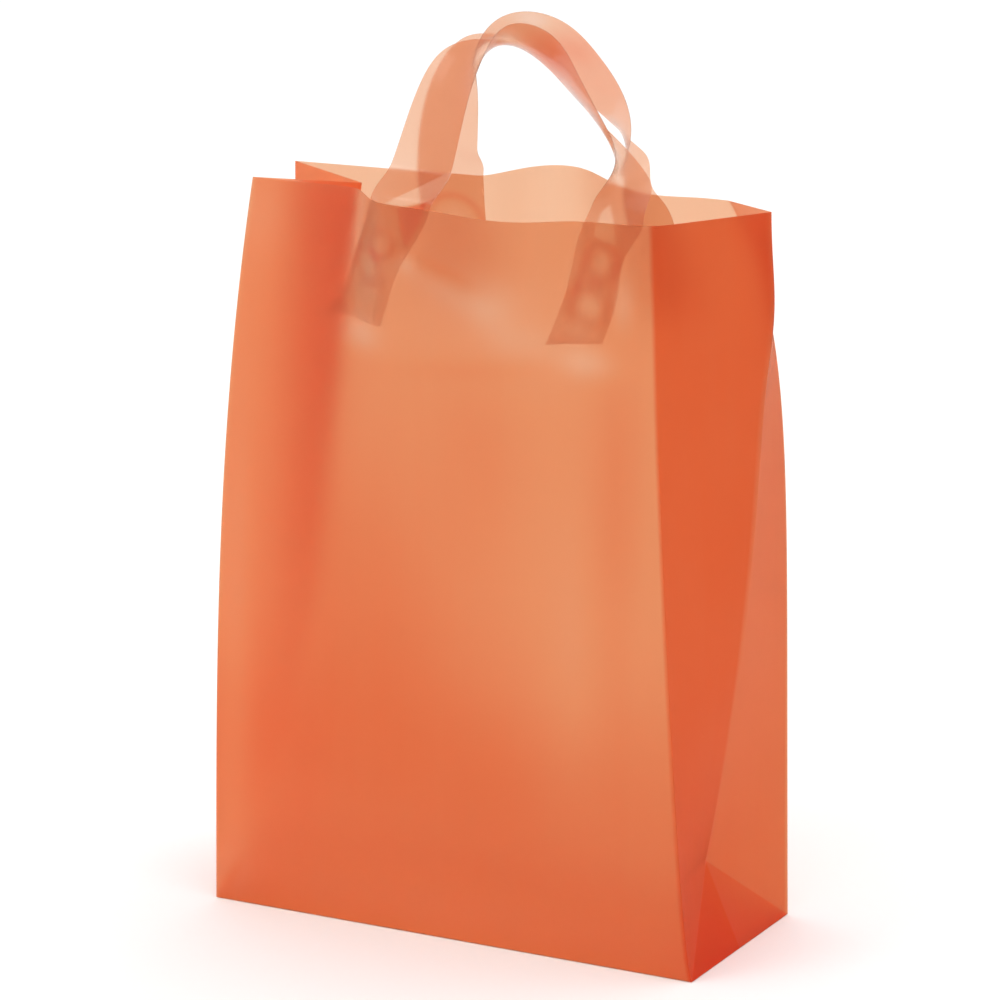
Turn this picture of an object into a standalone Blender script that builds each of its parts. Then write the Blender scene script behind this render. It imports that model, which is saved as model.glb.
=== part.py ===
"""Plastic carrier bag with two soft loop handles, standing open on its square bottom.

Metres, +Z up. The origin is the centre of the base, the front panel faces -Y and the open side
gusset faces +X. The bag is one tube of film with a flat bottom: a front and a back panel joined by
two side gussets, each with a centre crease and a 45 degree fold at its foot. Each handle is one
flat strip whose two ends lie on the inner face of its panel.
"""

import math

import bmesh
import bpy
import numpy as np
from mathutils import Vector
from mathutils.bvhtree import BVHTree

# Driving dimensions
BASE_WIDTH = 0.250
BASE_DEPTH = 0.103
BAG_HEIGHT = 0.350
FILM_THICKNESS = 0.0001
STRIP_WIDTH = 0.031

# Foot of each gusset: the diagonal folds meet at this height on the centre crease
FOLD_HEIGHT = 0.040
FOLD_DEPTH = 0.018

# Where the four corner creases end at the rim, as X and Y
RIM_FRONT_LEFT = (-0.109, -0.038)
RIM_FRONT_RIGHT = (0.094, -0.0355)
RIM_BACK_RIGHT = (0.104, 0.0235)
RIM_BACK_LEFT = (-0.106, -0.003)
RIM_RIGHT_GUSSET = (0.130, 0.014)

# How late each crease leaves the upright, as the powers of its X and Y travel
EASE_FRONT_LEFT = (3.0, 1.0)
EASE_FRONT_RIGHT = (0.72, 1.0)
EASE_BACK_RIGHT = (8.0, 4.0)
EASE_BACK_LEFT = (2.5, 1.5)

# The mouth bellies out between the handle legs: centre, half width, soft edge and outward reach
FRONT_BELLY = (0.008, 0.052, 0.022, 0.021)
BACK_BELLY = (0.015, 0.040, 0.032, 0.036)
BELLY_START = 0.52
PANEL_CROWN = 0.004

# Handle routes from weld to weld: X, Y, Z, then the yaw and pitch of the strip's width in degrees
FRONT_ROUTE = (
    (-0.049, -0.050, 0.294, 0, -12),
    (-0.028, -0.044, 0.350, -8, -14),
    (-0.013, -0.033, 0.397, -19, -13),
    (-0.004, -0.028, 0.415, -35, -5),
    (0.012, -0.020, 0.427, -55, 25),
    (0.032, -0.014, 0.420, -54, 38),
    (0.048, -0.017, 0.406, -61, 35),
    (0.064, -0.021, 0.390, -74, 26),
    (0.075, -0.027, 0.371, -94, 17),
    (0.075, -0.036, 0.350, -155, 10),
    (0.061, -0.046, 0.293, -180, 2),
)
BACK_ROUTE = (
    (-0.036, 0.009, 0.288, 2, -5),
    (-0.030, 0.006, 0.351, 0, -5),
    (-0.024, 0.003, 0.398, -27, -7),
    (-0.017, 0.004, 0.414, -54, 4),
    (-0.005, 0.004, 0.422, -62, 26),
    (0.009, 0.005, 0.423, -53, 41),
    (0.023, 0.009, 0.416, -36, 47),
    (0.035, 0.014, 0.404, -33, 41),
    (0.047, 0.018, 0.388, -51, 26),
    (0.057, 0.022, 0.367, -73, 13),
    (0.064, 0.022, 0.348, -145, 3),
    (0.070, 0.025, 0.290, -180, -3),
)
WELD_GAP = 0.0008
WELD_FEEL = 0.0050
RELEASE_FOOT = 0.006
RELEASE_TOP = 0.018

# Mesh counts
PANEL_COLUMNS = 20
FOLD_ROWS = 4
WALL_ROWS = 15
STRIP_COLUMNS = 6
STRIP_ROWS = 52

FILM_COLOUR = (0.82, 0.30, 0.14, 1.0)
STRIP_COLOUR = (0.88, 0.56, 0.42, 1.0)


def blend(a, b, share):
    """The point that lies the given share of the way from a to b."""
    return a + (b - a) * share


def soft_step(value):
    """A smooth rise from 0 to 1 as the value goes from 0 to 1."""
    held = min(max(value, 0.0), 1.0)
    return held * held * (3.0 - 2.0 * held)


def crease_point(side_x, side_y, rim, ease, level):
    """A point on a corner crease, at a level from 0 at the base to 1 at the rim."""
    foot = (side_x * BASE_WIDTH / 2, side_y * BASE_DEPTH / 2)
    x = blend(foot[0], rim[0], level ** ease[0])
    y = blend(foot[1], rim[1], level ** ease[1])
    return Vector((x, y, BAG_HEIGHT * level))


def front_left(level):
    return crease_point(-1, -1, RIM_FRONT_LEFT, EASE_FRONT_LEFT, level)


def front_right(level):
    return crease_point(1, -1, RIM_FRONT_RIGHT, EASE_FRONT_RIGHT, level)


def back_right(level):
    return crease_point(1, 1, RIM_BACK_RIGHT, EASE_BACK_RIGHT, level)


def back_left(level):
    return crease_point(-1, 1, RIM_BACK_LEFT, EASE_BACK_LEFT, level)


def belly(x, level, shape):
    """How far the panel bellies out at this width and level."""
    centre, half_width, soft_edge, reach = shape
    across = soft_step((half_width - abs(x - centre)) / soft_edge)
    upward = soft_step((level - BELLY_START) / (1.0 - BELLY_START) * 0.5) * 2.0
    return reach * across * upward


def panel_point(left, right, outward, shape, across, level):
    """A point of the front or back panel, from its left crease to its right crease."""
    point = blend(left(level), right(level), across)
    crown = PANEL_CROWN * math.sin(math.pi * across) * math.sin(math.pi * level)
    point.y += outward * (crown + belly(point.x, level, shape))
    return point


def front_panel(across, level):
    return panel_point(front_left, front_right, -1, FRONT_BELLY, across, level)


def back_panel(across, level):
    return panel_point(back_left, back_right, 1, BACK_BELLY, across, level)


def fold_level():
    """The level at which the diagonal folds reach the centre crease."""
    return math.hypot(FOLD_HEIGHT, FOLD_DEPTH) / BAG_HEIGHT


def crease_height(level):
    """The height of a gusset's centre crease, which starts at the diagonal folds."""
    share = (level - fold_level()) / (1.0 - fold_level())
    return blend(FOLD_HEIGHT, BAG_HEIGHT, share)


def right_centre(level):
    """The open gusset's centre crease: pushed in at its foot and bowed out at the rim."""
    share = (level - fold_level()) / (1.0 - fold_level())
    x = blend(BASE_WIDTH / 2 - FOLD_DEPTH, RIM_RIGHT_GUSSET[0], 1.0 - (1.0 - share) ** 2)
    y = RIM_RIGHT_GUSSET[1] * share
    return Vector((x, y, crease_height(level)))


def left_centre(level):
    """The closing gusset's centre crease: its halves keep their width as they fold inward."""
    chord = back_left(level) - front_left(level)
    half = chord.length / 2
    inward = math.sqrt((BASE_DEPTH / 2) ** 2 - half**2)
    normal = Vector((chord.y, -chord.x, 0.0)).normalized()
    point = blend(front_left(level), back_left(level), 0.5) + normal * inward
    point.z = crease_height(level)
    return point


def gusset_point(front, back, centre, across, level):
    """A point of a side gusset, from its front crease to its back crease."""
    if level >= fold_level():
        if across <= 0.5:
            return blend(front(level), centre(level), across * 2.0)
        return blend(centre(level), back(level), across * 2.0 - 1.0)
    climbed = level / fold_level()
    apex = centre(fold_level())
    fold_front = blend(front(0.0), apex, climbed)
    fold_back = blend(back(0.0), apex, climbed)
    reach = climbed / 2.0
    if across < reach:
        return blend(front(level), fold_front, across / reach)
    if across > 1.0 - reach:
        return blend(back(level), fold_back, (1.0 - across) / reach)
    return blend(fold_front, fold_back, (across - reach) / (1.0 - 2.0 * reach))


def right_gusset(across, level):
    return gusset_point(front_right, back_right, right_centre, across, level)


def left_gusset(across, level):
    return gusset_point(front_left, back_left, left_centre, across, level)


def base_panel(across, along):
    """A point of the flat bottom."""
    return Vector(((across - 0.5) * BASE_WIDTH, (along - 0.5) * BASE_DEPTH, 0.0))


def row_level(share):
    """Levels for evenly counted rows: the first few end where the diagonal folds meet."""
    row = share * (FOLD_ROWS + WALL_ROWS)
    if row <= FOLD_ROWS:
        return fold_level() * row / FOLD_ROWS
    return blend(fold_level(), 1.0, (row - FOLD_ROWS) / WALL_ROWS)


def even(share):
    """Evenly spaced rows."""
    return share


def add_sheet(bm, columns, rows, place, spacing=even):
    """Add a grid to the mesh and lay it over the surface that the place function gives."""
    made = bmesh.ops.create_grid(bm, x_segments=columns, y_segments=rows, size=0.5)
    for vert in made["verts"]:
        across = round(vert.co.x + 0.5, 6)
        up = round(vert.co.y + 0.5, 6)
        vert.co = place(across, spacing(up))


def split_along(bm, start, end):
    """Split each four-sided face that the straight fold from start to end crosses."""
    line = end - start
    for face in list(bm.faces):
        corners = [v for v in face.verts if abs((v.co - start).cross(line).length) < 1e-7]
        opposite = len(corners) == 2 and not any(
            set(edge.verts) == set(corners) for edge in face.edges
        )
        if len(face.verts) == 4 and opposite:
            bmesh.utils.face_split(face, corners[0], corners[1])


def film_material(name, colour):
    """A frosted film finish."""
    material = bpy.data.materials.new(name)
    material.use_nodes = True
    shader = material.node_tree.nodes["Principled BSDF"]
    shader.inputs["Base Color"].default_value = colour
    shader.inputs["Roughness"].default_value = 0.45
    shader.inputs["Metallic"].default_value = 0.0
    return material


def film_object(name, bm, material, collection):
    """Turn an open sheet into an object with a Solidify modifier of the film's thickness."""
    mesh = bpy.data.meshes.new(name)
    bm.to_mesh(mesh)
    bm.free()
    mesh.shade_smooth()
    made = bpy.data.objects.new(name, mesh)
    made.data.materials.append(material)
    collection.objects.link(made)
    thickness = made.modifiers.new("film", "SOLIDIFY")
    thickness.thickness = FILM_THICKNESS
    thickness.offset = -1.0
    return made


def build_body(material, collection):
    """The bag's film: four walls and the bottom, welded into one open sheet."""
    bm = bmesh.new()
    rows = FOLD_ROWS + WALL_ROWS
    for place in (front_panel, back_panel):
        add_sheet(bm, PANEL_COLUMNS, rows, place, row_level)
    for place in (left_gusset, right_gusset):
        add_sheet(bm, 2 * FOLD_ROWS, rows, place, row_level)
    add_sheet(bm, PANEL_COLUMNS, 2 * FOLD_ROWS, base_panel)
    bmesh.ops.remove_doubles(bm, verts=bm.verts, dist=0.00005)
    bmesh.ops.recalc_face_normals(bm, faces=bm.faces)
    for front, back, centre in (
        (front_right, back_right, right_centre),
        (front_left, back_left, left_centre),
    ):
        apex = centre(fold_level())
        split_along(bm, front(0.0), apex)
        split_along(bm, back(0.0), apex)
    return film_object("bag_body", bm, material, collection)


def spline(knots, values):
    """A natural cubic spline through the rows of values, as a function of one parameter."""
    count = len(knots)
    step = np.diff(knots)
    system = np.eye(count)
    right_side = np.zeros_like(values)
    for i in range(1, count - 1):
        system[i, i - 1 : i + 2] = (step[i - 1], 2 * (step[i - 1] + step[i]), step[i])
        rise = (values[i + 1] - values[i]) / step[i] - (values[i] - values[i - 1]) / step[i - 1]
        right_side[i] = 6 * rise
    bend = np.linalg.solve(system, right_side)

    def at(parameter):
        i = min(max(int(np.searchsorted(knots, parameter)) - 1, 0), count - 2)
        before = parameter - knots[i]
        after = knots[i + 1] - parameter
        cubic = (bend[i] * after**3 + bend[i + 1] * before**3) / (6 * step[i])
        low = (values[i] / step[i] - bend[i] * step[i] / 6) * after
        high = (values[i + 1] / step[i] - bend[i + 1] * step[i] / 6) * before
        return cubic + low + high

    return at


def route_curve(route):
    """A handle's route as a smooth function of a share from 0 to 1 of its length."""
    values = np.array(route, dtype=float)
    spans = np.linalg.norm(np.diff(values[:, :3], axis=0), axis=1)
    knots = np.concatenate(([0.0], np.cumsum(spans)))
    curve = spline(knots, values)
    return lambda share: curve(share * knots[-1])


def inner_face(wall, inward, x, z):
    """The Y of the panel's inner face around this X and Z, where it stands furthest in."""
    faces = []
    for aside, above in ((0, 0), (-1, 0), (1, 0), (0, -1), (0, 1)):
        height = min(z + above * WELD_FEEL, BAG_HEIGHT - 0.0002)
        start = Vector((x + aside * WELD_FEEL, 0.0, height))
        hit = wall.ray_cast(start, Vector((0.0, -inward, 0.0)))[0]
        if hit is not None:
            faces.append(hit.y * inward)
    return max(faces) * inward


def build_handle(name, route, inward, wall, material, collection):
    """A strip along its route, with both ends laid on the inner face of its panel."""
    curve = route_curve(route)

    def place(across, along):
        x, y, z, yaw, pitch = curve(along)
        yaw = math.radians(yaw)
        pitch = math.radians(pitch)
        width = Vector((math.cos(yaw), math.sin(yaw), 0.0)) * math.cos(pitch)
        width.z = math.sin(pitch)
        point = Vector((x, y, z)) + width * ((across - 0.5) * STRIP_WIDTH)
        above_rim = point.z - BAG_HEIGHT
        held = soft_step((RELEASE_TOP - above_rim) / (RELEASE_TOP - RELEASE_FOOT))
        if held > 0.0:
            face = inner_face(wall, inward, point.x, point.z)
            point.y = blend(point.y, face + inward * WELD_GAP, held)
        return point

    bm = bmesh.new()
    add_sheet(bm, STRIP_COLUMNS, STRIP_ROWS, place)
    return film_object(name, bm, material, collection)


def wall_tree(place):
    """A search tree of one panel, for laying the handle ends on it."""
    bm = bmesh.new()
    add_sheet(bm, PANEL_COLUMNS, FOLD_ROWS + WALL_ROWS, place, row_level)
    tree = BVHTree.FromBMesh(bm)
    bm.free()
    return tree


def main():
    for old in list(bpy.data.objects):
        bpy.data.objects.remove(old)
    collection = bpy.data.collections.new("plastic_carrier_bag")
    bpy.context.scene.collection.children.link(collection)
    film = film_material("bag_film", FILM_COLOUR)
    front_strip = film_material("front_handle_film", STRIP_COLOUR)
    back_strip = film_material("back_handle_film", STRIP_COLOUR)
    build_body(film, collection)
    front_wall = wall_tree(front_panel)
    back_wall = wall_tree(back_panel)
    build_handle("front_handle", FRONT_ROUTE, 1, front_wall, front_strip, collection)
    build_handle("back_handle", BACK_ROUTE, -1, back_wall, back_strip, collection)


main()
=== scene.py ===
"""Looks of a frosted plastic carrier bag with two soft loop handles.

Metres, +Z up. The bag stands on its square bottom with the front panel facing -Y. The film body
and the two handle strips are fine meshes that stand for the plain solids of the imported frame.
"""

from __future__ import annotations

import logging
import math
from collections.abc import Callable, Sequence
from dataclasses import dataclass, field
from enum import Enum

import bpy
import numpy as np
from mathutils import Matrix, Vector


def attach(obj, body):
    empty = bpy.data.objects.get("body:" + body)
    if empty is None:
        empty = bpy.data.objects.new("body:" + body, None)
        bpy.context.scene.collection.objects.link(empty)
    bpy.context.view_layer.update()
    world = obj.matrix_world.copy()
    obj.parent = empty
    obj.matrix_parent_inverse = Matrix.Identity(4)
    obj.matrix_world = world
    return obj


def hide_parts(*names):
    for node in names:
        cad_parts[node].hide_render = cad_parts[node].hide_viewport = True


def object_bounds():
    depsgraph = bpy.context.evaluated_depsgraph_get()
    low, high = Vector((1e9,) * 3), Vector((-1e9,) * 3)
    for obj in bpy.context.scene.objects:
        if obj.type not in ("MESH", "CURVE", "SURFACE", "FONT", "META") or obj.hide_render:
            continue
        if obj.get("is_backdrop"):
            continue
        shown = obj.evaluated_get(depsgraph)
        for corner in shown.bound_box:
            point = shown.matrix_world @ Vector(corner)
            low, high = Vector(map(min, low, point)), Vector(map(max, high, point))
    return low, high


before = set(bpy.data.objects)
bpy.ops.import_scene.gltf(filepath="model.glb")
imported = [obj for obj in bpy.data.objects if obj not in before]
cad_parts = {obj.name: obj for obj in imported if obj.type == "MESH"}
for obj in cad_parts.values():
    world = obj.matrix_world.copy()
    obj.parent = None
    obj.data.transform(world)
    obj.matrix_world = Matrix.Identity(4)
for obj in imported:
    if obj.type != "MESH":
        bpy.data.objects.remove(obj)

LOG = logging.getLogger("carrier_bag")

Colour = tuple[float, float, float]
Place = Callable[[np.ndarray, np.ndarray], np.ndarray]

# Mesh attribute read by the film tint: real film density together with painted shade and painted light
# from the marks.
DENSITY_AND_SHADING = "film_density_and_shading"
TINY = 1e-6

# Waves per metre along X, Y and Z of the film's unevenness, from broad clouds to fine frost.
CLOUD_WAVES = (22.0, 22.0, 14.0)
GAUGE_WAVES = (160.0, 160.0, 4.0)
WRINKLE_WAVES = (90.0, 90.0, 45.0)
FROST_WAVES = (1500.0, 1500.0, 1500.0)
FLOOR_WAVES = (3.0, 3.0, 3.0)
# How strongly the drawn gauge bands and the frost count beside the clouds and the wrinkles.
GAUGE_SHARE = 0.4
FROST_SHARE = 0.08
WRINKLE_STRENGTH = 0.35
WRINKLE_HEIGHT = 0.0004
# A fold sharper than this is shaded as an edge.
FOLD_ANGLE = math.radians(50.0)


# --------------------------------------------------------------------------------------
# Shader maths
# --------------------------------------------------------------------------------------
class Wire:
    """One shader value, whose operators add the Math nodes that they need."""

    def __init__(self, graph: Graph, socket: bpy.types.NodeSocket) -> None:
        """Wrap a socket of a graph.

        Args:
            graph: The node graph that the socket is in.
            socket: The output socket that gives the value.
        """
        self.graph = graph
        self.socket = socket

    def _maths(self, operation: str, first: Value, second: Value) -> Wire:
        """Add one Math node.

        Args:
            operation: The Math node's operation.
            first: The value of its first socket.
            second: The value of its second socket.

        Returns:
            The node's result.
        """
        return self.graph.node("ShaderNodeMath", {"operation": operation}, {0: first, 1: second})

    def __add__(self, other: Value) -> Wire:
        """Sum."""
        return self._maths("ADD", self, other)

    def __sub__(self, other: Value) -> Wire:
        """Difference."""
        return self._maths("SUBTRACT", self, other)

    def __rsub__(self, other: Value) -> Wire:
        """Difference from a number."""
        return self._maths("SUBTRACT", other, self)

    def __mul__(self, other: Value) -> Wire:
        """Product."""
        return self._maths("MULTIPLY", self, other)

    def __truediv__(self, other: Value) -> Wire:
        """Quotient."""
        return self._maths("DIVIDE", self, other)

    def __abs__(self) -> Wire:
        """Size without sign."""
        return self._maths("ABSOLUTE", self, 0.0)

    def limited(self) -> Wire:
        """The value held between 0 and 1."""
        return self.graph.node("ShaderNodeClamp", {}, {"Value": self})

    __radd__ = __add__
    __rmul__ = __mul__


Value = Wire | float | tuple[float, ...]


class Graph:
    """A material's or world's node tree, filled from Python expressions."""

    def __init__(self, tree: bpy.types.NodeTree) -> None:
        """Start an empty graph.

        Args:
            tree: The node tree to fill; its default nodes are removed.
        """
        self.tree = tree
        tree.nodes.clear()

    def node(
        self,
        kind: str,
        settings: dict[str, object] | None = None,
        inputs: dict[str | int, Value] | None = None,
        output: str | int = 0,
    ) -> Wire | None:
        """Add one node.

        Args:
            kind: The node's type.
            settings: Properties to set first; stops fills a colour ramp.
            inputs: Values or wires for its sockets, by name or number.
            output: The output socket to return.

        Returns:
            The chosen output as a wire, or nothing for a node without outputs.
        """
        made = self.tree.nodes.new(kind)
        for name, value in (settings or {}).items():
            if name == "stops":
                self._fill_ramp(made.color_ramp, value)
            else:
                setattr(made, name, value)
        for name, value in (inputs or {}).items():
            if isinstance(value, Wire):
                self.tree.links.new(value.socket, made.inputs[name])
            else:
                made.inputs[name].default_value = value
        return Wire(self, made.outputs[output]) if made.outputs else None

    @staticmethod
    def _fill_ramp(ramp: bpy.types.ColorRamp, stops: Sequence[tuple[float, Colour]]) -> None:
        """Set a colour ramp's stops.

        Args:
            ramp: The ramp.
            stops: Each stop's place from 0 to 1 and its colour.
        """
        while len(ramp.elements) < len(stops):
            ramp.elements.new(1.0)
        for element, (place, colour) in zip(ramp.elements, stops, strict=True):
            element.position = place
            element.color = (*colour, 1.0)

    def noise(self, scale: tuple[float, float, float], detail: float, seed: float) -> Wire:
        """Smooth noise around 0.5, fixed to the object.

        Args:
            scale: Waves per metre along X, Y and Z.
            detail: The noise's octaves.
            seed: An offset that tells one noise from another.

        Returns:
            The noise value.
        """
        place = self.node("ShaderNodeTexCoord", output="Object")
        moved = self.node(
            "ShaderNodeMapping", {}, {"Vector": place, "Location": (seed, seed, seed), "Scale": scale}
        )
        return self.node(
            "ShaderNodeTexNoise", {}, {"Vector": moved, "Scale": 1.0, "Detail": detail}, "Fac"
        )

    def blend(self, share: Value, first: Value, second: Value) -> Wire:
        """Mix two colours.

        Args:
            share: How much of the second colour, from 0 to 1.
            first: The first colour.
            second: The second colour.

        Returns:
            The mixed colour.
        """
        return self.node(
            "ShaderNodeMix",
            {"data_type": "RGBA"},
            {"Factor": share, 6: first, 7: second},
            output=2,
        )


# --------------------------------------------------------------------------------------
# Finishes
# --------------------------------------------------------------------------------------
@dataclass(frozen=True)
class FootFold:
    """The triangular fold at each gusset's foot, where the bottom's layers lie behind the film."""

    height: float
    half_depth: float
    from_x: float
    density: float
    crease_sharpness: float = 60.0
    end_sharpness: float = 4000.0

    def strength(self, graph: Graph) -> Wire:
        """How much density the fold adds at each point.

        Args:
            graph: The material's graph.

        Returns:
            The added density.
        """
        place = graph.node("ShaderNodeTexCoord", output="Object")
        axes = {
            axis: graph.node("ShaderNodeSeparateXYZ", {}, {"Vector": place}, axis) for axis in "XYZ"
        }
        inside = 1.0 - axes["Z"] / self.height - abs(axes["Y"]) / self.half_depth
        end = (abs(axes["X"]) - self.from_x) * self.end_sharpness
        return (inside * self.crease_sharpness).limited() * end.limited() * self.density


@dataclass(frozen=True)
class FilmFinish:
    """Frosted film: what one layer lets through where it is drawn thin, normal and dense; the density
    also carries painted shade and painted light.
    """

    name: str
    thin: Colour
    normal: Colour
    dense: Colour
    haze: float = 0.7
    cloud: float = 0.06
    lustre: float = 0.02
    refraction: float = 1.22
    see_through: float = 0.95
    foot: FootFold | None = None

    def make(self) -> bpy.types.Material:
        """Build the material.

        Returns:
            The film's material, which reads the mesh's film density.
        """
        material = bpy.data.materials.new(self.name)
        material.use_nodes = True
        graph = Graph(material.node_tree)
        density = graph.node("ShaderNodeAttribute", {"attribute_name": DENSITY_AND_SHADING}, {}, "Fac")
        clouds = graph.noise(CLOUD_WAVES, detail=2.0, seed=0.0)
        gauge_bands = graph.noise(GAUGE_WAVES, detail=1.0, seed=3.7)
        uneven = (clouds - 0.5) * self.cloud + (gauge_bands - 0.5) * (self.cloud * GAUGE_SHARE)
        if self.foot is not None:
            uneven = uneven + self.foot.strength(graph)
        tint = graph.node(
            "ShaderNodeValToRGB",
            {"stops": ((0.0, self.thin), (0.5, self.normal), (1.0, self.dense))},
            {"Fac": density + uneven},
            "Color",
        )
        frost = graph.noise(FROST_WAVES, detail=2.0, seed=8.1)
        wrinkles = graph.noise(WRINKLE_WAVES, detail=3.0, seed=5.3)
        normal = graph.node(
            "ShaderNodeBump",
            {},
            {
                "Strength": WRINKLE_STRENGTH,
                "Distance": WRINKLE_HEIGHT,
                "Height": wrinkles + frost * FROST_SHARE,
            },
        )
        shader = graph.node(
            "ShaderNodeBsdfPrincipled",
            {},
            {
                "Base Color": tint,
                "Roughness": self.haze + (clouds - 0.5) * self.lustre,
                "IOR": self.refraction,
                "Transmission Weight": self.see_through,
                "Normal": normal,
            },
        )
        graph.node("ShaderNodeOutputMaterial", {}, {"Surface": shader})
        return material


@dataclass(frozen=True)
class FloorFinish:
    """A pale matt studio floor."""

    name: str
    colour: Colour

    def make(self) -> bpy.types.Material:
        """Build the material.

        Returns:
            The floor's material.
        """
        material = bpy.data.materials.new(self.name)
        material.use_nodes = True
        graph = Graph(material.node_tree)
        mottle = graph.noise(FLOOR_WAVES, detail=2.0, seed=1.0)
        colour = graph.blend(mottle * 0.04, (*self.colour, 1.0), (0.9, 0.9, 0.9, 1.0))
        shader = graph.node(
            "ShaderNodeBsdfPrincipled",
            {},
            {"Base Color": colour, "Roughness": 0.9},
        )
        graph.node("ShaderNodeOutputMaterial", {}, {"Surface": shader})
        return material


# --------------------------------------------------------------------------------------
# Shape helpers
# --------------------------------------------------------------------------------------
Numbers = np.ndarray | float


def mix(start: Numbers, end: Numbers, share: Numbers) -> Numbers:
    """The value that lies the given share of the way from start to end."""
    return start + (end - start) * share


def soft_step(value: np.ndarray) -> np.ndarray:
    """A smooth rise from 0 to 1 as the value goes from 0 to 1."""
    held = np.clip(value, 0.0, 1.0)
    return held * held * held * (held * (held * 6.0 - 15.0) + 10.0)


class Spline:
    """A natural cubic spline through rows of values."""

    def __init__(self, knots: np.ndarray, values: np.ndarray) -> None:
        """Fit the spline.

        Args:
            knots: The rising parameter of each row.
            values: One row of values for each knot.
        """
        count = len(knots)
        step = np.diff(knots)
        system = np.eye(count)
        pull = np.zeros_like(values)
        slopes = np.diff(values, axis=0) / step[:, None]
        for i in range(1, count - 1):
            system[i, i - 1 : i + 2] = (step[i - 1], 2 * (step[i - 1] + step[i]), step[i])
            pull[i] = 6 * (slopes[i] - slopes[i - 1])
        self.knots = knots
        self.values = values
        self.step = step
        self.bend = np.linalg.solve(system, pull)

    def __call__(self, parameter: np.ndarray) -> np.ndarray:
        """Read the spline.

        Args:
            parameter: The places to read, on the knots' scale.

        Returns:
            One row of values for each place.
        """
        i = np.clip(np.searchsorted(self.knots, parameter) - 1, 0, len(self.knots) - 2)
        step = self.step[i][:, None]
        before = (parameter - self.knots[i])[:, None]
        after = (self.knots[i + 1] - parameter)[:, None]
        cubic = (self.bend[i] * after**3 + self.bend[i + 1] * before**3) / (6 * step)
        low = (self.values[i] / step - self.bend[i] * step / 6) * after
        high = (self.values[i + 1] / step - self.bend[i + 1] * step / 6) * before
        return cubic + low + high


class MarkKind(Enum):
    """The two forms that a mark in the film takes."""

    SPOT = "spot"
    RING = "ring"


@dataclass(frozen=True)
class Mark:
    """A soft oval spot, streak or ring in the film, placed by its X and Z on the panel."""

    centre: tuple[float, float]
    reach: tuple[float, float]
    lean: float = 0.0
    lift: float = 0.0
    density: float = 0.0
    kind: MarkKind = MarkKind.SPOT
    line: float = 0.22

    def strength(self, x: np.ndarray, z: np.ndarray) -> np.ndarray:
        """How strongly the mark shows at each point.

        Args:
            x: The points' X.
            z: The points' Z.

        Returns:
            Values from 0 to 1.
        """
        turn = math.radians(self.lean)
        aside = (x - self.centre[0]) * math.cos(turn) + (z - self.centre[1]) * math.sin(turn)
        upward = (z - self.centre[1]) * math.cos(turn) - (x - self.centre[0]) * math.sin(turn)
        radius = np.hypot(aside / self.reach[0], upward / self.reach[1])
        if self.kind is MarkKind.RING:
            return np.exp(-(((radius - 1.0) / self.line) ** 2))
        return np.exp(-(radius**2))


@dataclass(frozen=True)
class Patch:
    """A straight-sided patch in the film, its corners counterclockwise in X and Z."""

    corners: tuple[tuple[float, float], ...]
    soft: float
    density: float = 0.0
    lift: float = 0.0

    def strength(self, x: np.ndarray, z: np.ndarray) -> np.ndarray:
        """How strongly the patch shows at each point.

        Args:
            x: The points' X.
            z: The points' Z.

        Returns:
            Values from 0 to 1.
        """
        total = np.ones_like(x)
        for (x0, z0), (x1, z1) in zip(self.corners, self.corners[1:] + self.corners[:1]):
            inside = (x1 - x0) * (z - z0) - (z1 - z0) * (x - x0)
            total *= soft_step(inside / math.hypot(x1 - x0, z1 - z0) / self.soft + 0.5)
        return total


def marked(marks: Sequence[Mark | Patch], what: str, x: np.ndarray, z: np.ndarray) -> np.ndarray:
    """Add up one property of many marks.

    Args:
        marks: The marks.
        what: The property to add up, lift or density.
        x: The points' X.
        z: The points' Z.

    Returns:
        The summed property at each point.
    """
    total = np.zeros_like(x)
    for mark in marks:
        total += getattr(mark, what) * mark.strength(x, z)
    return total


def film_piece(
    name: str,
    points: np.ndarray,
    faces: Sequence[Sequence[int]],
    density: np.ndarray,
    thickness: float,
    materials: Sequence[bpy.types.Material],
    slots: Sequence[int] | None = None,
) -> bpy.types.Object:
    """Make a thin closed film from an open sheet.

    Args:
        name: The piece's name.
        points: The sheet's points.
        faces: The point numbers of each face.
        density: The film density at each point, with painted shade and painted light included; 0.5 is
            plain film.
        thickness: The film's thickness.
        materials: The film's materials.
        slots: The material number of each face, where there is more than one.

    Returns:
        The new object.
    """
    mesh = bpy.data.meshes.new(name)
    mesh.from_pydata(points.tolist(), [], faces)
    mesh.validate()
    layer = mesh.attributes.new(DENSITY_AND_SHADING, "FLOAT", "POINT")
    layer.data.foreach_set("value", np.clip(density, 0.0, 1.0).astype(np.float32))
    for material in materials:
        mesh.materials.append(material)
    if slots is not None:
        mesh.polygons.foreach_set("material_index", slots)
    mesh.shade_smooth()
    piece = bpy.data.objects.new(name, mesh)
    bpy.context.scene.collection.objects.link(piece)
    gauge = piece.modifiers.new("gauge", "SOLIDIFY")
    gauge.thickness = thickness
    gauge.offset = -1.0
    shell = bpy.data.meshes.new_from_object(piece.evaluated_get(bpy.context.evaluated_depsgraph_get()))
    shell.set_sharp_from_angle(angle=FOLD_ANGLE)
    piece.modifiers.clear()
    piece.data = shell
    return piece


# --------------------------------------------------------------------------------------
# Bag body
# --------------------------------------------------------------------------------------
@dataclass(frozen=True)
class Crease:
    """A vertical corner crease, from its foot to its end at the rim."""

    foot: tuple[float, float]
    rim: tuple[float, float]
    ease: tuple[float, float]
    sag: float = 0.0

    def at(self, level: np.ndarray, height: float) -> np.ndarray:
        """Points on the crease.

        Args:
            level: Levels from 0 at the base to 1 at the rim.
            height: The bag's height.

        Returns:
            One point for each level.
        """
        x = mix(self.foot[0], self.rim[0], level ** self.ease[0])
        x = x + self.sag * np.sin(math.pi * level)
        y = mix(self.foot[1], self.rim[1], level ** self.ease[1])
        return np.stack((x, y, height * level), axis=-1)


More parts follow.
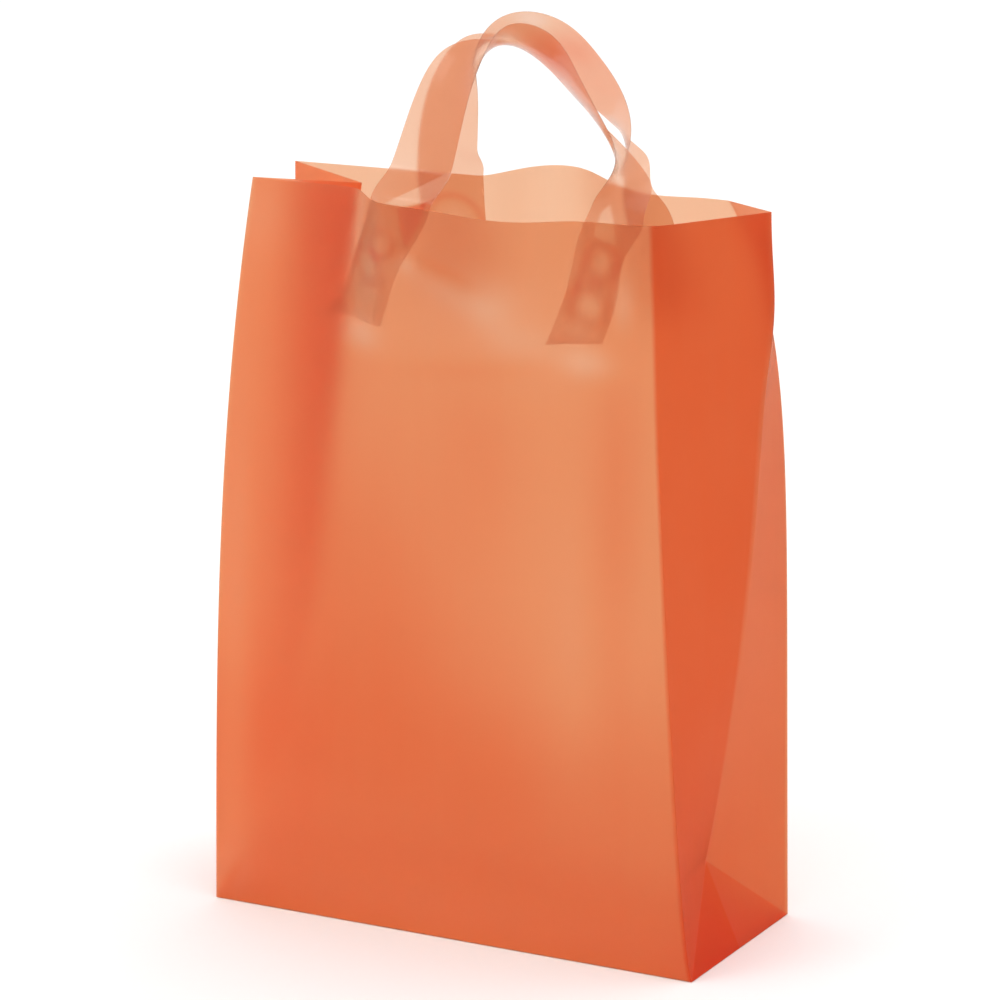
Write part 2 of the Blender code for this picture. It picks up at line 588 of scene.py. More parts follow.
@dataclass(frozen=True)
class Mouth:
    """How a panel's rim wanders in plan between its creases, and how low that reaches."""

    rim: tuple[tuple[float, float], ...]
    start: float = 0.52

    def at(self, x: np.ndarray, level: np.ndarray) -> np.ndarray:
        """How far the panel moves along Y from its straight line between the creases.

        Args:
            x: The points' X.
            level: The points' levels.

        Returns:
            Distances along Y.
        """
        plan = np.array(self.rim)
        first, last = plan[0], plan[-1]
        slope = (last[1] - first[1]) / (last[0] - first[0])
        away = plan[:, 1] - (first[1] + slope * (plan[:, 0] - first[0]))
        held = np.clip(x, first[0], last[0])
        wander = Spline(plan[:, 0], away[:, None])(held.ravel())[:, 0].reshape(x.shape)
        climbed = np.clip((level - self.start) / (1.0 - self.start), 0.0, 1.0) / 2.0
        return wander * climbed * climbed * (3.0 - 2.0 * climbed) * 2.0


@dataclass(frozen=True)
class Panel:
    """The front or back panel between its two corner creases."""

    left: Crease
    right: Crease
    outward: float
    mouth: Mouth
    marks: tuple[Mark | Patch, ...]
    height: float
    crown: float = 0.004
    billow: float = 0.0012

    def place(self, across: np.ndarray, level: np.ndarray) -> np.ndarray:
        """Lay a grid over the panel.

        Args:
            across: Shares from the left crease to the right crease.
            level: Levels from the base to the rim.

        Returns:
            The points.
        """
        left = self.left.at(level, self.height)
        points = mix(left, self.right.at(level, self.height), across[..., None])
        x, z = points[..., 0], points[..., 2]
        fade = np.sin(math.pi * across) * np.sin(math.pi * np.clip(level * 0.93, 0, 1))
        wave = np.sin(31.0 * x + 17.0 * z + 0.6) * np.cos(23.0 * z - 14.0 * x)  # slow, uneven swell
        bulge = self.crown * np.sin(math.pi * across) * np.sin(math.pi * level)
        relief = marked(self.marks, "lift", x, z) * np.clip(level * 8.0, 0.0, 1.0)
        points[..., 1] += self.outward * (bulge + self.billow * wave * fade + relief)
        points[..., 1] += self.mouth.at(x, level)
        return points


# Each panel's rim in plan, X and Y, from its left crease to its right crease.
FRONT_RIM = (
    (-0.109, -0.0380),
    (-0.085, -0.0358),
    (-0.066, -0.0338),
    (-0.056, -0.0350),
    (-0.047, -0.0435),
    (-0.038, -0.0515),
    (-0.026, -0.0545),
    (-0.007, -0.0556),
    (0.018, -0.0585),
    (0.034, -0.0565),
    (0.046, -0.0500),
    (0.056, -0.0430),
    (0.070, -0.0390),
    (0.094, -0.0355),
)
BACK_RIM = (
    (-0.106, -0.0030),
    (-0.065, 0.0036),
    (-0.034, 0.0088),
    (-0.021, 0.0112),
    (-0.0150, 0.0140),
    (-0.0065, 0.0320),
    (0.005, 0.0455),
    (0.016, 0.0465),
    (0.037, 0.0330),
    (0.052, 0.0230),
    (0.062, 0.0185),
    (0.073, 0.0175),
    (0.090, 0.0220),
    (0.104, 0.0235),
)


@dataclass
class BagBody:
    """The film body: two panels, two side gussets and the flat bottom."""

    node: str
    width: float = 0.250
    depth: float = 0.103
    height: float = 0.350
    thickness: float = 0.00012
    fold_height: float = 0.040
    fold_depth: float = 0.018
    right_rim: tuple[float, float] = (0.130, 0.014)
    right_ease: float = 2.6
    right_puff: float = 0.0035
    puff_level: float = 0.85
    puff_reach: float = 0.10
    ease_start: float = 0.55
    ease_reach: float = 9.0
    ease_passes: int = 14
    panel_columns: int = 100
    gusset_columns: int = 40
    wall_rows: int = 128
    front_marks: tuple[Mark | Patch, ...] = ()
    back_marks: tuple[Mark | Patch, ...] = ()
    # Extra density on the open gusset's front and back halves is painted shade: the side turned from the
    # light and seen at a grazing angle.
    open_gusset_painted_shade: tuple[float, float] = (0.43, 0.28)
    closed_gusset_density: tuple[float, float] = (0.16, 0.16)
    base_density: float = 0.6
    ring: np.ndarray = field(init=False, repr=False)

    def __post_init__(self) -> None:
        """Work out the creases and the panels."""
        half_x, half_y = self.width / 2, self.depth / 2
        self.front_left = Crease((-half_x, -half_y), (-0.109, -0.038), (3.0, 1.0), -0.0013)
        self.front_right = Crease((half_x, -half_y), (0.094, -0.0355), (0.72, 1.0))
        self.back_right = Crease((half_x, half_y), (0.104, 0.0235), (8.0, 4.0), -0.0016)
        self.back_left = Crease((-half_x, half_y), (-0.106, -0.003), (2.5, 1.5))
        self.front = Panel(
            self.front_left,
            self.front_right,
            -1.0,
            Mouth(FRONT_RIM),
            self.front_marks,
            self.height,
        )
        self.back = Panel(
            self.back_left,
            self.back_right,
            1.0,
            Mouth(BACK_RIM),
            self.back_marks,
            self.height,
        )
        self.fold_rows = self.gusset_columns // 2
        self.fold_level = math.hypot(self.fold_height, self.fold_depth) / self.height

    def levels(self) -> np.ndarray:
        """The level of each row: the first rows end where the diagonal folds meet."""
        foot = np.linspace(0.0, self.fold_level, self.fold_rows, endpoint=False)
        return np.concatenate((foot, np.linspace(self.fold_level, 1.0, self.wall_rows + 1)))

    def climb(self, level: np.ndarray) -> np.ndarray:
        """The share of the way up a gusset's centre crease, from the folds to the rim."""
        return np.clip((level - self.fold_level) / (1.0 - self.fold_level), 0.0, 1.0)

    def right_centre(self, level: np.ndarray) -> np.ndarray:
        """The open gusset's centre crease: pushed in at its foot and bowed out at the rim.

        Args:
            level: Levels from the folds to the rim.

        Returns:
            The crease's points.
        """
        share = self.climb(level)
        outward = 1.0 - (1.0 - share) ** self.right_ease
        x = mix(self.width / 2 - self.fold_depth, self.right_rim[0], outward)
        puff = np.exp(-(((share - self.puff_level) / self.puff_reach) ** 2))
        x = x + self.right_puff * puff
        return np.stack((x, self.right_rim[1] * share, mix(self.fold_height, self.height, share)), -1)

    def left_centre(self, level: np.ndarray) -> np.ndarray:
        """The closing gusset's centre crease: its halves keep their width as they fold inward.

        Args:
            level: Levels from the folds to the rim.

        Returns:
            The crease's points.
        """
        front = self.front_left.at(level, self.height)
        back = self.back_left.at(level, self.height)
        chord = back - front
        length = np.linalg.norm(chord, axis=-1)
        inward = np.sqrt((self.depth / 2) ** 2 - (length / 2) ** 2)
        normal = np.stack((chord[..., 1], -chord[..., 0], np.zeros_like(length)), -1)
        points = (front + back) / 2 + normal * (inward / length)[..., None]
        points[..., 2] = mix(self.fold_height, self.height, self.climb(level))
        return points

    def gusset(self, front: Crease, back: Crease, centre: Callable[[np.ndarray], np.ndarray]) -> Place:
        """The surface of one side gusset.

        Args:
            front: Its front crease.
            back: Its back crease.
            centre: Its centre crease.

        Returns:
            A function that lays a grid over it, from the front crease to the back crease.
        """

        def place(across: np.ndarray, level: np.ndarray) -> np.ndarray:
            """Lay a grid over the gusset.

            Args:
                across: Shares from the front crease to the back crease.
                level: Levels from the base to the rim.

            Returns:
                The points.
            """
            front_edge = front.at(level, self.height)
            back_edge = back.at(level, self.height)
            across = across[..., None]
            middle = centre(np.maximum(level, self.fold_level))
            wall = np.where(
                across <= 0.5,
                mix(front_edge, middle, across * 2.0),
                mix(middle, back_edge, across * 2.0 - 1.0),
            )
            climbed = np.clip(level / self.fold_level, 0.0, 1.0)[..., None]
            reach = np.maximum(climbed / 2.0, TINY)
            apex = centre(np.full_like(level, self.fold_level))
            fold_front = mix(front.at(np.zeros_like(level), self.height), apex, climbed)
            fold_back = mix(back.at(np.zeros_like(level), self.height), apex, climbed)
            open_share = (across - reach) / np.maximum(1.0 - 2.0 * reach, TINY)
            foot = mix(fold_front, fold_back, np.clip(open_share, 0.0, 1.0))
            foot = np.where(across < reach, mix(front_edge, fold_front, across / reach), foot)
            foot = np.where(
                across > 1.0 - reach, mix(back_edge, fold_back, (1.0 - across) / reach), foot
            )
            return np.where(level[..., None] >= self.fold_level, wall, foot)

        return place

    def wrap(self) -> np.ndarray:
        """Lay the four walls round the bag.

        Returns:
            The points, by row and by station round the bag.
        """
        level = self.levels()
        open_gusset = self.gusset(self.front_right, self.back_right, self.right_centre)
        closed_gusset = self.gusset(self.front_left, self.back_left, self.left_centre)
        walls = (
            (self.front.place, self.panel_columns, False),
            (open_gusset, self.gusset_columns, False),
            (self.back.place, self.panel_columns, True),
            (closed_gusset, self.gusset_columns, True),
        )
        strips = []
        for place, columns, backwards in walls:
            across = np.linspace(0.0, 1.0, columns + 1)
            if backwards:
                across = across[::-1]
            grid = np.meshgrid(across[:-1], level)
            strips.append(place(*grid))
        return np.concatenate(strips, axis=1)

    def ease_corners(self, ring: np.ndarray) -> np.ndarray:
        """Round the mouth's front right corner more and more towards the rim.

        Args:
            ring: The points, by row and station.

        Returns:
            The eased points.
        """
        level = self.levels()[:, None]
        station = np.arange(ring.shape[1])[None, :]
        corner = self.panel_columns
        spread = np.exp(-(((station - corner) / self.ease_reach) ** 2))
        share = (soft_step((level - self.ease_start) / (1.0 - self.ease_start)) * spread)[..., None]
        eased = ring
        for _ in range(self.ease_passes):
            eased = (np.roll(eased, 1, 1) + 2.0 * eased + np.roll(eased, -1, 1)) / 4.0
        return mix(ring, eased, share)

    def faces(self) -> list[tuple[int, ...]]:
        """Join the points into faces, with the diagonal folds along face edges.

        Returns:
            The point numbers of each face.
        """
        rows = len(self.levels())
        columns, depth = self.panel_columns, self.gusset_columns
        around = 2 * (columns + depth)
        found: list[tuple[int, ...]] = []
        gusset_starts = (columns, 2 * columns + depth)
        for row in range(rows - 1):
            for station in range(around):
                low, high = row * around, (row + 1) * around
                after = (station + 1) % around
                corners = (low + station, low + after, high + after, high + station)
                steps = [station - start for start in gusset_starts if 0 <= station - start < depth]
                if row < self.fold_rows and steps and steps[0] == row:
                    found += [(corners[0], corners[1], corners[2]), (corners[0], corners[2], corners[3])]
                elif row < self.fold_rows and steps and steps[0] == depth - 1 - row:
                    found += [(corners[0], corners[1], corners[3]), (corners[1], corners[2], corners[3])]
                else:
                    found.append(corners)
        return found + self.base_faces(rows * around)

    def base_number(self, column: int, row: int, first: int) -> int:
        """The number of a point of the bottom, which shares its edge with the walls.

        Args:
            column: Its column, from the left.
            row: Its row, from the front.
            first: The number of the first inner point.

        Returns:
            The point's number.
        """
        columns, depth = self.panel_columns, self.gusset_columns
        if row == 0:
            return column
        if column == columns:
            return columns + row
        if row == depth:
            return 2 * columns + depth - column
        if column == 0:
            return (2 * columns + 2 * depth - row) % (2 * columns + 2 * depth)
        return first + (row - 1) * (columns - 1) + column - 1

    def base_faces(self, first: int) -> list[tuple[int, ...]]:
        """The faces of the bottom.

        Args:
            first: The number of the first inner point.

        Returns:
            The point numbers of each face.
        """
        found = []
        for row in range(self.gusset_columns):
            for column in range(self.panel_columns):
                steps = ((column, row), (column, row + 1), (column + 1, row + 1), (column + 1, row))
                found.append(tuple(self.base_number(*step, first) for step in steps))
        return found

    def base_points(self) -> np.ndarray:
        """The inner points of the flat bottom, row by row from the front."""
        x = np.linspace(-self.width / 2, self.width / 2, self.panel_columns + 1)[1:-1]
        y = np.linspace(-self.depth / 2, self.depth / 2, self.gusset_columns + 1)[1:-1]
        across, along = np.meshgrid(x, y)
        return np.stack((across, along, np.zeros_like(across)), -1).reshape(-1, 3)

    def density(self, ring: np.ndarray) -> np.ndarray:
        """The film density of the walls, with painted shade and painted light laid in.

        Args:
            ring: The points, by row and station.

        Returns:
            The density, by row and station; 0.5 is plain film.
        """
        columns, depth = self.panel_columns, self.gusset_columns
        shade = np.full(ring.shape[:2], 0.5)
        front = ring[:, :columns]
        shade[:, :columns] += marked(self.front_marks, "density", front[..., 0], front[..., 2])
        start = columns + depth
        back = ring[:, start : start + columns]
        shade[:, start : start + columns] += marked(
            self.back_marks, "density", back[..., 0], back[..., 2]
        )
        front_half = np.arange(depth) < depth // 2
        # Painted shade on the open gusset, darker on its front half.
        shade[:, columns : columns + depth] += np.where(front_half, *self.open_gusset_painted_shade)
        shade[:, -depth:] += np.where(front_half, *self.closed_gusset_density)[::-1]
        return shade

    def build(
        self, finish: FilmFinish, base_finish: FilmFinish, fold_finish: FilmFinish
    ) -> bpy.types.Object:
        """Build and dress the film body.

        Args:
            finish: The finish of the panels and the open gusset.
            base_finish: The finish of the bottom's folded layers.
            fold_finish: The finish of the gusset that is folded inward.

        Returns:
            The body's object.
        """
        self.ring = self.ease_corners(self.wrap())
        base = self.base_points()
        points = np.concatenate((self.ring.reshape(-1, 3), base))
        shade = np.concatenate((self.density(self.ring).ravel(), np.full(len(base), self.base_density)))
        faces = self.faces()
        base_from = len(faces) - self.panel_columns * self.gusset_columns
        around = self.ring.shape[1]
        fold_from = around - self.gusset_columns
        wall_slots = [2 if face[0] % around >= fold_from else 0 for face in faces[:base_from]]
        slots = wall_slots + [1] * (len(faces) - base_from)
        materials = (finish.make(), base_finish.make(), fold_finish.make())
        piece = film_piece("bag_film", points, faces, shade, self.thickness, materials, slots)
        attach(piece, "root")
        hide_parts(self.node)
        return piece

    def inner_face(self, side: float, x: np.ndarray, z: np.ndarray) -> np.ndarray:
        """The Y of a panel at each X and Z.

        Args:
            side: The way the panel faces, -1 for the front and 1 for the back.
            x: The points' X.
            z: The points' Z.

        Returns:
            The panel's Y there.
        """
        columns, depth = self.panel_columns, self.gusset_columns
        start = 0 if side < 0 else columns + depth
        panel = self.ring[:, start : start + columns + 1]
        heights = panel[:, columns // 2, 2]
        row = np.clip(np.searchsorted(heights, z) - 1, 0, len(heights) - 2)
        share = np.clip((z - heights[row]) / (heights[row + 1] - heights[row]), 0.0, 1.0)
        found = np.zeros_like(x)
        for i, here in enumerate(x):
            ends = []
            for line in (panel[row[i]], panel[row[i] + 1]):
                order = line if side < 0 else line[::-1]
                ends.append(np.interp(here, order[:, 0], order[:, 1]))
            found[i] = mix(ends[0], ends[1], share[i])
        return found


# --------------------------------------------------------------------------------------
# Handles
# --------------------------------------------------------------------------------------
@dataclass
class HandleStrip:
    """One soft loop handle: a flat strip whose ends are welded inside its panel."""

    name: str
    node: str
    slot: str
    side: float
    route: tuple[tuple[float, ...], ...]
    marks: tuple[Mark | Patch, ...]
    body: BagBody
    width: float = 0.031
    thickness: float = 0.00012
    weld_gap: float = 0.0004
    release: float = 0.016
    tangent_step: float = 0.004
    pucker_depth: float = 0.004
    columns: int = 28
    rows: int = 300

    def centre_line(self, along: np.ndarray) -> np.ndarray:
        """Read the route.

        Args:
            along: Shares of the strip's length.

        Returns:
            For each share X, Y, Z, yaw, pitch, the share of the full width and the hollow.
        """
        values = np.array(self.route, dtype=float)
        spans = np.linalg.norm(np.diff(values[:, :3], axis=0), axis=1)
        knots = np.concatenate(([0.0], np.cumsum(spans)))
        return Spline(knots, values)(along * knots[-1])

    def place(self, across: np.ndarray, along: np.ndarray) -> np.ndarray:
        """Lay a grid along the strip.

        Args:
            across: Shares across the strip.
            along: Shares along it, from weld to weld.

        Returns:
            The points.
        """
        x, y, z, yaw, pitch, share, hollow = self.centre_line(along).T
        yaw, pitch = np.radians(yaw), np.radians(pitch)
        width = np.stack(
            (np.cos(yaw) * np.cos(pitch), np.sin(yaw) * np.cos(pitch), np.sin(pitch)), -1
        )
        middle = np.stack((x, y, z), -1)
        offset = (across - 0.5) * self.width * share
        points = middle + width * offset[:, None]
        before = self.centre_line(np.clip(along - self.tangent_step, 0.0, 1.0))[:, :3]
        after = self.centre_line(np.clip(along + self.tangent_step, 0.0, 1.0))[:, :3]
        face = np.cross(after - before, width)
        face /= np.linalg.norm(face, axis=-1)[:, None]
        points += face * (hollow * (1.0 - (2.0 * across - 1.0) ** 2))[:, None]
        return self.hold(points, across, share)

    def hold(self, points: np.ndarray, across: np.ndarray, share: np.ndarray) -> np.ndarray:
        """Lay the ends on the inner face of the panel and let them go above the rim.

        Args:
            points: The strip's points.
            across: Their shares across the strip.
            share: The strip's share of its full width there.

        Returns:
            The held points.
        """
        above = points[:, 2] - self.body.height
        held = soft_step(1.0 - above / self.release)
        near = held > 0.0
        face = self.body.inner_face(self.side, points[near, 0], points[near, 2])
        pucker = (1.0 - np.minimum(share[near], 1.0)) * self.pucker_depth
        ripple = pucker * (1.0 + np.cos(3.0 * math.pi * across[near])) / 2.0
        target = face - self.side * (self.weld_gap + ripple)
        points[near, 1] = mix(points[near, 1], target, held[near])
        return points

    def build(self, finish: FilmFinish) -> bpy.types.Object:
        """Build and dress the strip.

        Args:
            finish: The strip's finish.

        Returns:
            The strip's object.
        """
        across, along = np.meshgrid(
            np.linspace(0.0, 1.0, self.columns + 1), np.linspace(0.0, 1.0, self.rows + 1)
        )
        points = self.place(across.ravel(), along.ravel())
        span = self.columns + 1
        faces = [
            (row * span + i, row * span + i + 1, (row + 1) * span + i + 1, (row + 1) * span + i)
            for row in range(self.rows)
            for i in range(self.columns)
        ]
        shade = 0.5 + marked(self.marks, "density", points[:, 0], points[:, 2])
        piece = film_piece(self.name, points, faces, shade, self.thickness, (finish.make(),))
        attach(piece, "root")
        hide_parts(self.node)
        return piece


# --------------------------------------------------------------------------------------
# Studio
# --------------------------------------------------------------------------------------
@dataclass
class Studio:
    """The pale floor, soft light and camera."""

    camera_place: tuple[float, float, float] = (1.5339, -2.9654, 1.2133)
    camera_aim: tuple[float, float, float] = (-0.0006, 0.0, 0.1995)
    lens: float = 270.9
    sensor: float = 36.0
    sky: float = 1.0
    floor_radius: float = 8.0
    floor_drop: float = 0.0004
    film_bounces: int = 24

    def build(self) -> None:
        """Build everything round the bag."""
        self.build_floor()
        self.build_world()
        self.build_light("key_light", (-1.6, -1.8, 2.2), 1.2, 14.0)
        self.build_light("top_light", (0.3, 0.6, 2.4), 1.6, 10.0)
        self.build_camera()

    def build_floor(self) -> None:
        """Lay a wide round floor just under the bag."""
        mesh = bpy.data.meshes.new("floor")
        turns = np.linspace(0.0, 2.0 * math.pi, 64, endpoint=False)
        radius, level = self.floor_radius, -self.floor_drop
        rim = [(radius * math.cos(turn), radius * math.sin(turn), level) for turn in turns]
        mesh.from_pydata(rim, [], [tuple(range(len(rim)))])
        mesh.materials.append(FloorFinish("floor_paint", (0.97, 0.97, 0.97)).make())
        floor = bpy.data.objects.new("floor", mesh)
        bpy.context.scene.collection.objects.link(floor)
        floor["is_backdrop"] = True

    def build_world(self) -> None:
        """Surround the bag with even white light."""
        world = bpy.data.worlds.new("studio")
        world.use_nodes = True
        graph = Graph(world.node_tree)
        light = graph.node(
            "ShaderNodeBackground", {}, {"Color": (1.0, 1.0, 1.0, 1.0), "Strength": self.sky}
        )
        graph.node("ShaderNodeOutputWorld", {}, {"Surface": light})
        bpy.context.scene.world = world

    def build_light(
        self, name: str, place: tuple[float, float, float], size: float, power: float
    ) -> None:
        """Hang one square soft light aimed at the bag.

        Args:
            name: The light's name.
            place: Where it hangs.
            size: The side of its square.
            power: Its power in watts.
        """
        light = bpy.data.lights.new(name, "AREA")
        light.size = size
        light.energy = power
        lamp = bpy.data.objects.new(name, light)
        lamp.location = place
        toward = Vector(self.camera_aim) - Vector(place)
        lamp.rotation_euler = toward.to_track_quat("-Z", "Y").to_euler()
        bpy.context.scene.collection.objects.link(lamp)

    def build_camera(self) -> None:
        """Set the camera and how light is counted through the film."""
        data = bpy.data.cameras.new("camera")
        data.lens = self.lens
        data.sensor_width = self.sensor
        camera = bpy.data.objects.new("camera", data)
        camera.location = self.camera_place
        toward = Vector(self.camera_aim) - Vector(self.camera_place)
        camera.rotation_euler = toward.to_track_quat("-Z", "Y").to_euler()
        scene = bpy.context.scene
        scene.collection.objects.link(camera)
        scene.camera = camera
        scene.view_settings.view_transform = "Standard"
        scene.cycles.max_bounces = self.film_bounces
        scene.cycles.transmission_bounces = self.film_bounces
        scene.cycles.diffuse_bounces = 4
        scene.cycles.glossy_bounces = 6


# Along each strip from weld to weld: X, Y, Z, yaw and pitch of its width in degrees, the share of
# the full width, and how deep its section is hollowed.
FRONT_ROUTE = (
    (-0.0540, -0.050, 0.2905, 0, -2, 1.04, 0.001),
    (-0.0468, -0.050, 0.304, 0, -2, 0.93, 0.001),
    (-0.0420, -0.049, 0.318, 0, -6, 0.95, 0.001),
    (-0.0345, -0.047, 0.332, -3, -11, 0.98, 0.001),
    (-0.0250, -0.043, 0.350, -8, -14, 1.03, 0.001),
    (-0.0130, -0.033, 0.397, -19, -13, 1.0, 0.001),
    (-0.0045, -0.029, 0.4160, -35, -5, 1.0, 0.0045),
    (0.0115, -0.022, 0.4274, -55, 25, 1.0, 0.005),
    (0.0320, -0.0165, 0.4210, -54, 38, 1.0, 0.002),
    (0.0480, -0.0195, 0.407, -61, 35, 1.0, 0.002),
    (0.0655, -0.0225, 0.390, -73, 26, 1.0, 0.003),
    (0.0795, -0.027, 0.371, -96, 17, 1.0, 0.004),
    (0.0764, -0.036, 0.350, -155, 10, 0.90, 0.001),
    (0.0700, -0.039, 0.335, -168, 6, 0.74, 0.001),
    (0.0679, -0.041, 0.3235, -174, 4, 0.72, 0.001),
    (0.0648, -0.044, 0.309, -179, 1, 0.77, 0.001),
    (0.0594, -0.046, 0.293, -182, -4, 0.80, 0.001),
)
BACK_ROUTE = (
    (-0.0345, 0.009, 0.288, 2, -3, 0.95, 0.001),
    (-0.0325, 0.008, 0.318, 2, -3, 0.97, 0.001),
    (-0.0313, 0.006, 0.351, 0, -4, 1.0, 0.001),
    (-0.0240, 0.003, 0.398, -27, -7, 1.0, 0.001),
    (-0.0170, 0.004, 0.4150, -54, 4, 1.0, 0.0045),
    (-0.0050, 0.005, 0.4228, -62, 26, 1.0, 0.005),
    (0.0090, 0.006, 0.4240, -53, 41, 1.0, 0.002),
    (0.0235, 0.009, 0.4175, -36, 47, 1.0, 0.001),
    (0.0355, 0.014, 0.405, -33, 41, 1.0, 0.002),
    (0.0490, 0.018, 0.388, -43, 27, 1.0, 0.001),
    (0.0575, 0.022, 0.367, -79, 11, 1.0, 0.0035),
    (0.0620, 0.022, 0.348, -138, 3, 1.0, 0.002),
    (0.0660, 0.024, 0.318, -170, 0, 0.85, 0.001),
    (0.0680, 0.025, 0.290, -180, -3, 0.95, 0.001),
)

# Painted shade and painted light on the front panel: broad darker and lighter areas for the panel's
# curve turning from the light and for less light reaching the lower bag.
FRONT_PAINTED_SHADING = (
    Mark((0.000, 0.082), (0.170, 0.055), density=0.25),
    Mark((-0.045, 0.165), (0.050, 0.075), density=0.18),
    Mark((0.066, 0.125), (0.026, 0.060), density=-0.12),
    Mark((0.080, 0.215), (0.013, 0.090), density=0.14),
    Mark((0.012, 0.235), (0.020, 0.060), density=0.07),
    Mark((-0.082, 0.255), (0.016, 0.095), lean=4.0, density=0.07),
    Mark((-0.116, 0.120), (0.009, 0.120), density=-0.12),
    # Painted light: the very bottom lifted where less light reaches it.
    Mark((0.010, 0.014), (0.150, 0.018), density=-0.14),
    Mark((-0.105, 0.335), (0.018, 0.022), density=-0.12),
    Mark((-0.1168, 0.0118), (0.003, 0.010), lean=-28.0, density=0.15),
)
# Painted highlights, painted shadow arcs and stretch-whitened film round the two welds on the front
# panel: the pale spots and streaks are partly sheen off puckers, partly drawn film.
FRONT_WELD_SHEEN_AND_SHADE = (
    Mark((0.020, 0.300), (0.055, 0.030), density=-0.10),
    Mark((0.0225, 0.3095), (0.013, 0.011), lift=0.0012, density=-0.22),
    Mark((-0.0010, 0.3130), (0.022, 0.008), lean=-22.0, lift=0.0010, density=-0.14),
    Mark((0.0360, 0.2930), (0.018, 0.009), lift=0.0008, density=-0.14),
    # Painted shadow arcs.
    Mark((-0.0060, 0.3225), (0.024, 0.0040), lean=-16.0, lift=-0.0008, density=0.12),
    Mark((0.0100, 0.2760), (0.040, 0.0050), lean=8.0, density=0.06),
    Mark((-0.0500, 0.2848), (0.012, 0.008), lift=0.0010, density=-0.28),
    Mark((-0.0450, 0.3150), (0.010, 0.022), lean=-20.0, density=-0.16),
    Mark((0.0665, 0.3180), (0.009, 0.022), lean=-12.0, density=-0.10),
    Mark((0.0653, 0.2845), (0.013, 0.007), lift=0.0010, density=-0.28),
    Mark((0.0820, 0.3139), (0.005, 0.012), density=-0.22),
    Mark((-0.0535, 0.3360), (0.004, 0.018), lean=-12.0, density=-0.22),
    Mark((-0.0210, 0.3230), (0.005, 0.005), density=-0.20),
)
# Where each end of the front strip is fused to the panel: soft rings and streaks of the press, with
# painted highlights on the rings' bulges and a painted sheen on the pale wedge where the strip bends
# over the rim.
LEFT_WELD_AND_SHEEN = (
    Mark((-0.0480, 0.3120), (0.026, 0.036), density=-0.46),
    Mark((-0.0358, 0.3295), (0.0068, 0.0062), 25.0, density=0.32, kind=MarkKind.RING, line=0.45),
    # Painted highlight on the ring's bulge.
    Mark((-0.0325, 0.3335), (0.0036, 0.0026), lean=-40.0, density=-0.20),
    Mark((-0.0405, 0.3235), (0.0055, 0.0040), lean=-30.0, density=0.20),
    Mark((-0.0460, 0.3175), (0.0090, 0.0066), -35.0, density=0.26, kind=MarkKind.RING, line=0.50),
    # Painted highlight on the ring's bulge.
    Mark((-0.0459, 0.3188), (0.0036, 0.0046), lean=-20.0, density=-0.18),
    Mark((-0.0470, 0.3090), (0.0110, 0.0034), lean=24.0, density=0.22),
    Mark((-0.0362, 0.3032), (0.0040, 0.0100), lean=-12.0, density=0.18),
    Mark((-0.0530, 0.3230), (0.0026, 0.0200), lean=-23.0, density=0.32),
    # Painted sheen: the pale wedge where the strip bends over the rim.
    Patch(
        (
            (-0.0325, 0.3501),
            (-0.0201, 0.3500),
            (-0.0133, 0.3521),
            (-0.0064, 0.3553),
            (-0.0009, 0.3659),
            (-0.0042, 0.3657),
            (-0.0180, 0.3580),
        ),
        soft=0.0012,
        density=-0.34,
    ),
    Patch(
        (
            (-0.0240, 0.3363),
            (-0.0223, 0.3284),
            (-0.0202, 0.3273),
            (-0.0142, 0.3424),
            (-0.0069, 0.3548),
            (-0.0250, 0.3491),
        ),
        soft=0.0020,
        density=0.28,
    ),
)
RIGHT_WELD_AND_SHEEN = (
    Mark((0.0660, 0.3140), (0.024, 0.036), density=-0.42),
    Mark((0.0708, 0.3316), (0.0060, 0.0085), -10.0, density=0.28, kind=MarkKind.RING, line=0.50),
    # Painted highlight on the ring's bulge.
    Mark((0.0730, 0.3325), (0.0030, 0.0042), density=-0.16),
    Mark((0.0676, 0.3215), (0.0080, 0.0045), lean=-10.0, density=0.22),
    Mark((0.0650, 0.3105), (0.0092, 0.0070), -28.0, density=0.24, kind=MarkKind.RING, line=0.55),
    # Painted highlight on the ring's bulge.
    Mark((0.0680, 0.3108), (0.0034, 0.0044), density=-0.16),
    Mark((0.0605, 0.3230), (0.0026, 0.0190), lean=-12.0, density=0.32),
    Mark((0.0768, 0.3220), (0.0024, 0.0180), lean=-12.0, density=0.24),
    Mark((0.0600, 0.2945), (0.0150, 0.0032), density=0.16),
    # Painted sheen: the pale wedge where the strip bends over the rim.
    Patch(
        (
            (0.0667, 0.3442),
            (0.0722, 0.3409),
            (0.0774, 0.3404),
            (0.0762, 0.3519),
            (0.0739, 0.3582),
            (0.0706, 0.3551),
        ),
        soft=0.0020,
        density=-0.34,
    ),
)
# Both strips are denser where they run over the top, with a painted highlight at the crest.
LOOP_TOP = (
    Mark((0.040, 0.402), (0.038, 0.030), density=0.11),
    Mark((0.030, 0.416), (0.018, 0.008), density=0.10),
    # Painted highlight at the loop's crest.
    Mark((0.016, 0.430), (0.008, 0.005), density=-0.14),
)
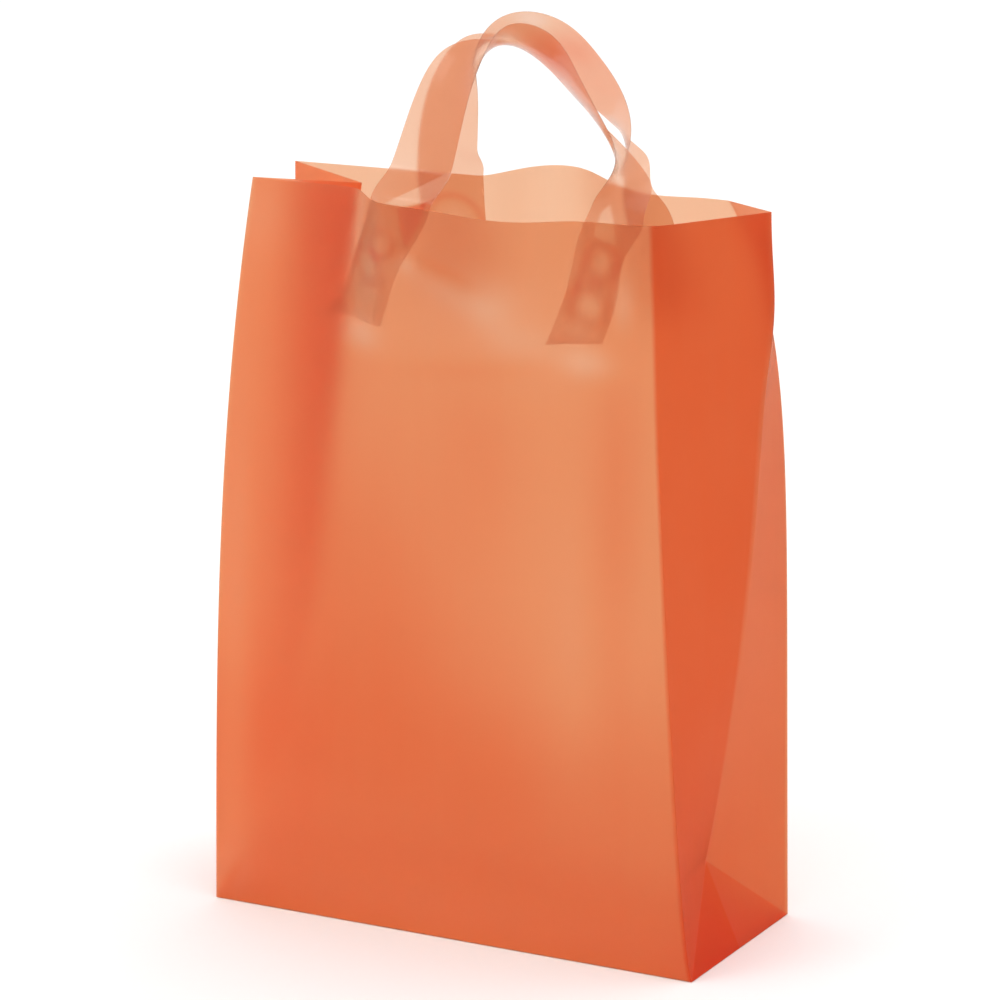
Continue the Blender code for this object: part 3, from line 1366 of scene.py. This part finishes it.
# The press mark of the back strip's left weld.
BACK_WELD = (
    Mark((-0.0318, 0.3255), (0.0134, 0.0134), density=0.12, kind=MarkKind.RING, line=0.16),
    Mark((-0.0318, 0.3250), (0.0090, 0.0090), density=-0.12),
)

# The film as each part of the bag shows it.
BODY_FILM = FilmFinish(
    "bag_film",
    thin=(0.90, 0.80, 0.71),
    normal=(0.865, 0.53, 0.345),
    dense=(0.80, 0.20, 0.065),
    foot=FootFold(0.040, 0.0515, 0.100, 0.12),
)
BASE_FILM = FilmFinish(
    "base_film",
    thin=(0.98, 0.80, 0.70),
    normal=(1.0, 0.47, 0.20),
    dense=(0.98, 0.34, 0.10),
    see_through=0.15,
)
FOLD_FILM = FilmFinish(
    "folded_gusset_film",
    thin=(0.97, 0.80, 0.71),
    normal=(0.92, 0.54, 0.345),
    dense=(0.93, 0.24, 0.08),
)
STRIP_FILM = FilmFinish(
    "strip_film",
    thin=(0.97, 0.92, 0.87),
    normal=(0.86, 0.53, 0.37),
    dense=(0.84, 0.11, 0.03),
    haze=0.16,
)


def main() -> None:
    """Build the bag and its studio, and measure the sizes before and after."""
    logging.basicConfig(level=logging.INFO, format="%(message)s")
    plain_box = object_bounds()
    body = BagBody("bag_body", front_marks=FRONT_PAINTED_SHADING + FRONT_WELD_SHEEN_AND_SHADE)
    LOG.info("bag film: %s", body.build(BODY_FILM, BASE_FILM, FOLD_FILM).name)
    for handle in (
        HandleStrip(
            "front_loop",
            "front_handle",
            "front_handle_film",
            -1.0,
            FRONT_ROUTE,
            LEFT_WELD_AND_SHEEN + RIGHT_WELD_AND_SHEEN + LOOP_TOP,
            body,
        ),
        HandleStrip(
            "back_loop",
            "back_handle",
            "back_handle_film",
            1.0,
            BACK_ROUTE,
            LOOP_TOP + BACK_WELD,
            body,
        ),
    ):
        LOG.info("handle strip: %s", handle.build(STRIP_FILM).name)
    Studio().build()
    LOG.info("studio ready")
    bpy.context.view_layer.update()
    visual_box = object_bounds()
    boxes = {"cad": plain_box, "visual": visual_box}
    {key: [list(corner) for corner in box] for key, box in boxes.items()}


if __name__ == "__main__":
    main()
